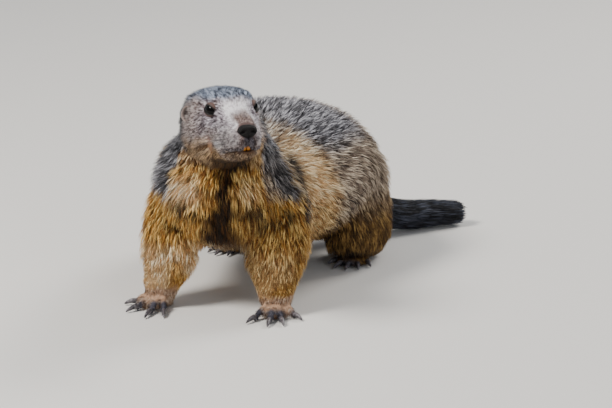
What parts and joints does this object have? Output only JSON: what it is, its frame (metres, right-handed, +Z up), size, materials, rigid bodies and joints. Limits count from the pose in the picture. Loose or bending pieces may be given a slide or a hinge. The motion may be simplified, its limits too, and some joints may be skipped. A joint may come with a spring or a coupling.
{
  "type": "alpine marmot",
  "caption": "Life-size alpine marmot standing on four feet with raised, turned head, arched back and a low bushy tail; a still display model.",
  "frame": {"origin": "middle of the bounding box's underside, on the floor that the marmot stands on", "axes": "+Z up, +Y from the head to the tail, +X to the marmot's left; the head faces -Y and is turned towards +X"},
  "size_m": [0.2328, 0.5226, 0.2378],
  "materials": {
    "grey_coat": "grizzled grey and black fur",
    "tawny_coat": "tawny fur with dark streaks",
    "black_coat": "long black fur",
    "paw_fur": "short pale fur",
    "claw_horn": "dark worn horn",
    "eye": "wet gloss",
    "nose_skin": "bare, damp, finely pebbled",
    "tooth_enamel": "smooth orange-yellow enamel"
  },
  "bodies": {
    "root": {"head": "grey_coat", "ear_left": "grey_coat", "ear_right": "grey_coat", "neck": "grey_coat", "rump": "grey_coat", "chest": "tawny_coat", "abdomen": "tawny_coat", "foreleg_left": "tawny_coat", "foreleg_right": "tawny_coat", "hindleg_left": "tawny_coat", "hindleg_right": "tawny_coat", "tail": "black_coat", "forepaw_left": "paw_fur", "forepaw_right": "paw_fur", "hindfoot_left": "paw_fur", "hindfoot_right": "paw_fur", "claw_forepaw_left_1": "claw_horn", "claw_forepaw_left_2": "claw_horn", "claw_forepaw_left_3": "claw_horn", "claw_forepaw_left_4": "claw_horn", "claw_forepaw_right_1": "claw_horn", "claw_forepaw_right_2": "claw_horn", "claw_forepaw_right_3": "claw_horn", "claw_forepaw_right_4": "claw_horn", "claw_hindfoot_left_1": "claw_horn", "claw_hindfoot_left_2": "claw_horn", "claw_hindfoot_left_3": "claw_horn", "claw_hindfoot_left_4": "claw_horn", "claw_hindfoot_left_5": "claw_horn", "claw_hindfoot_right_1": "claw_horn", "claw_hindfoot_right_2": "claw_horn", "claw_hindfoot_right_3": "claw_horn", "claw_hindfoot_right_4": "claw_horn", "claw_hindfoot_right_5": "claw_horn", "eye_left": "eye", "eye_right": "eye", "nose": "nose_skin", "incisor_left": "tooth_enamel", "incisor_right": "tooth_enamel"}
  },
  "joints": []
}
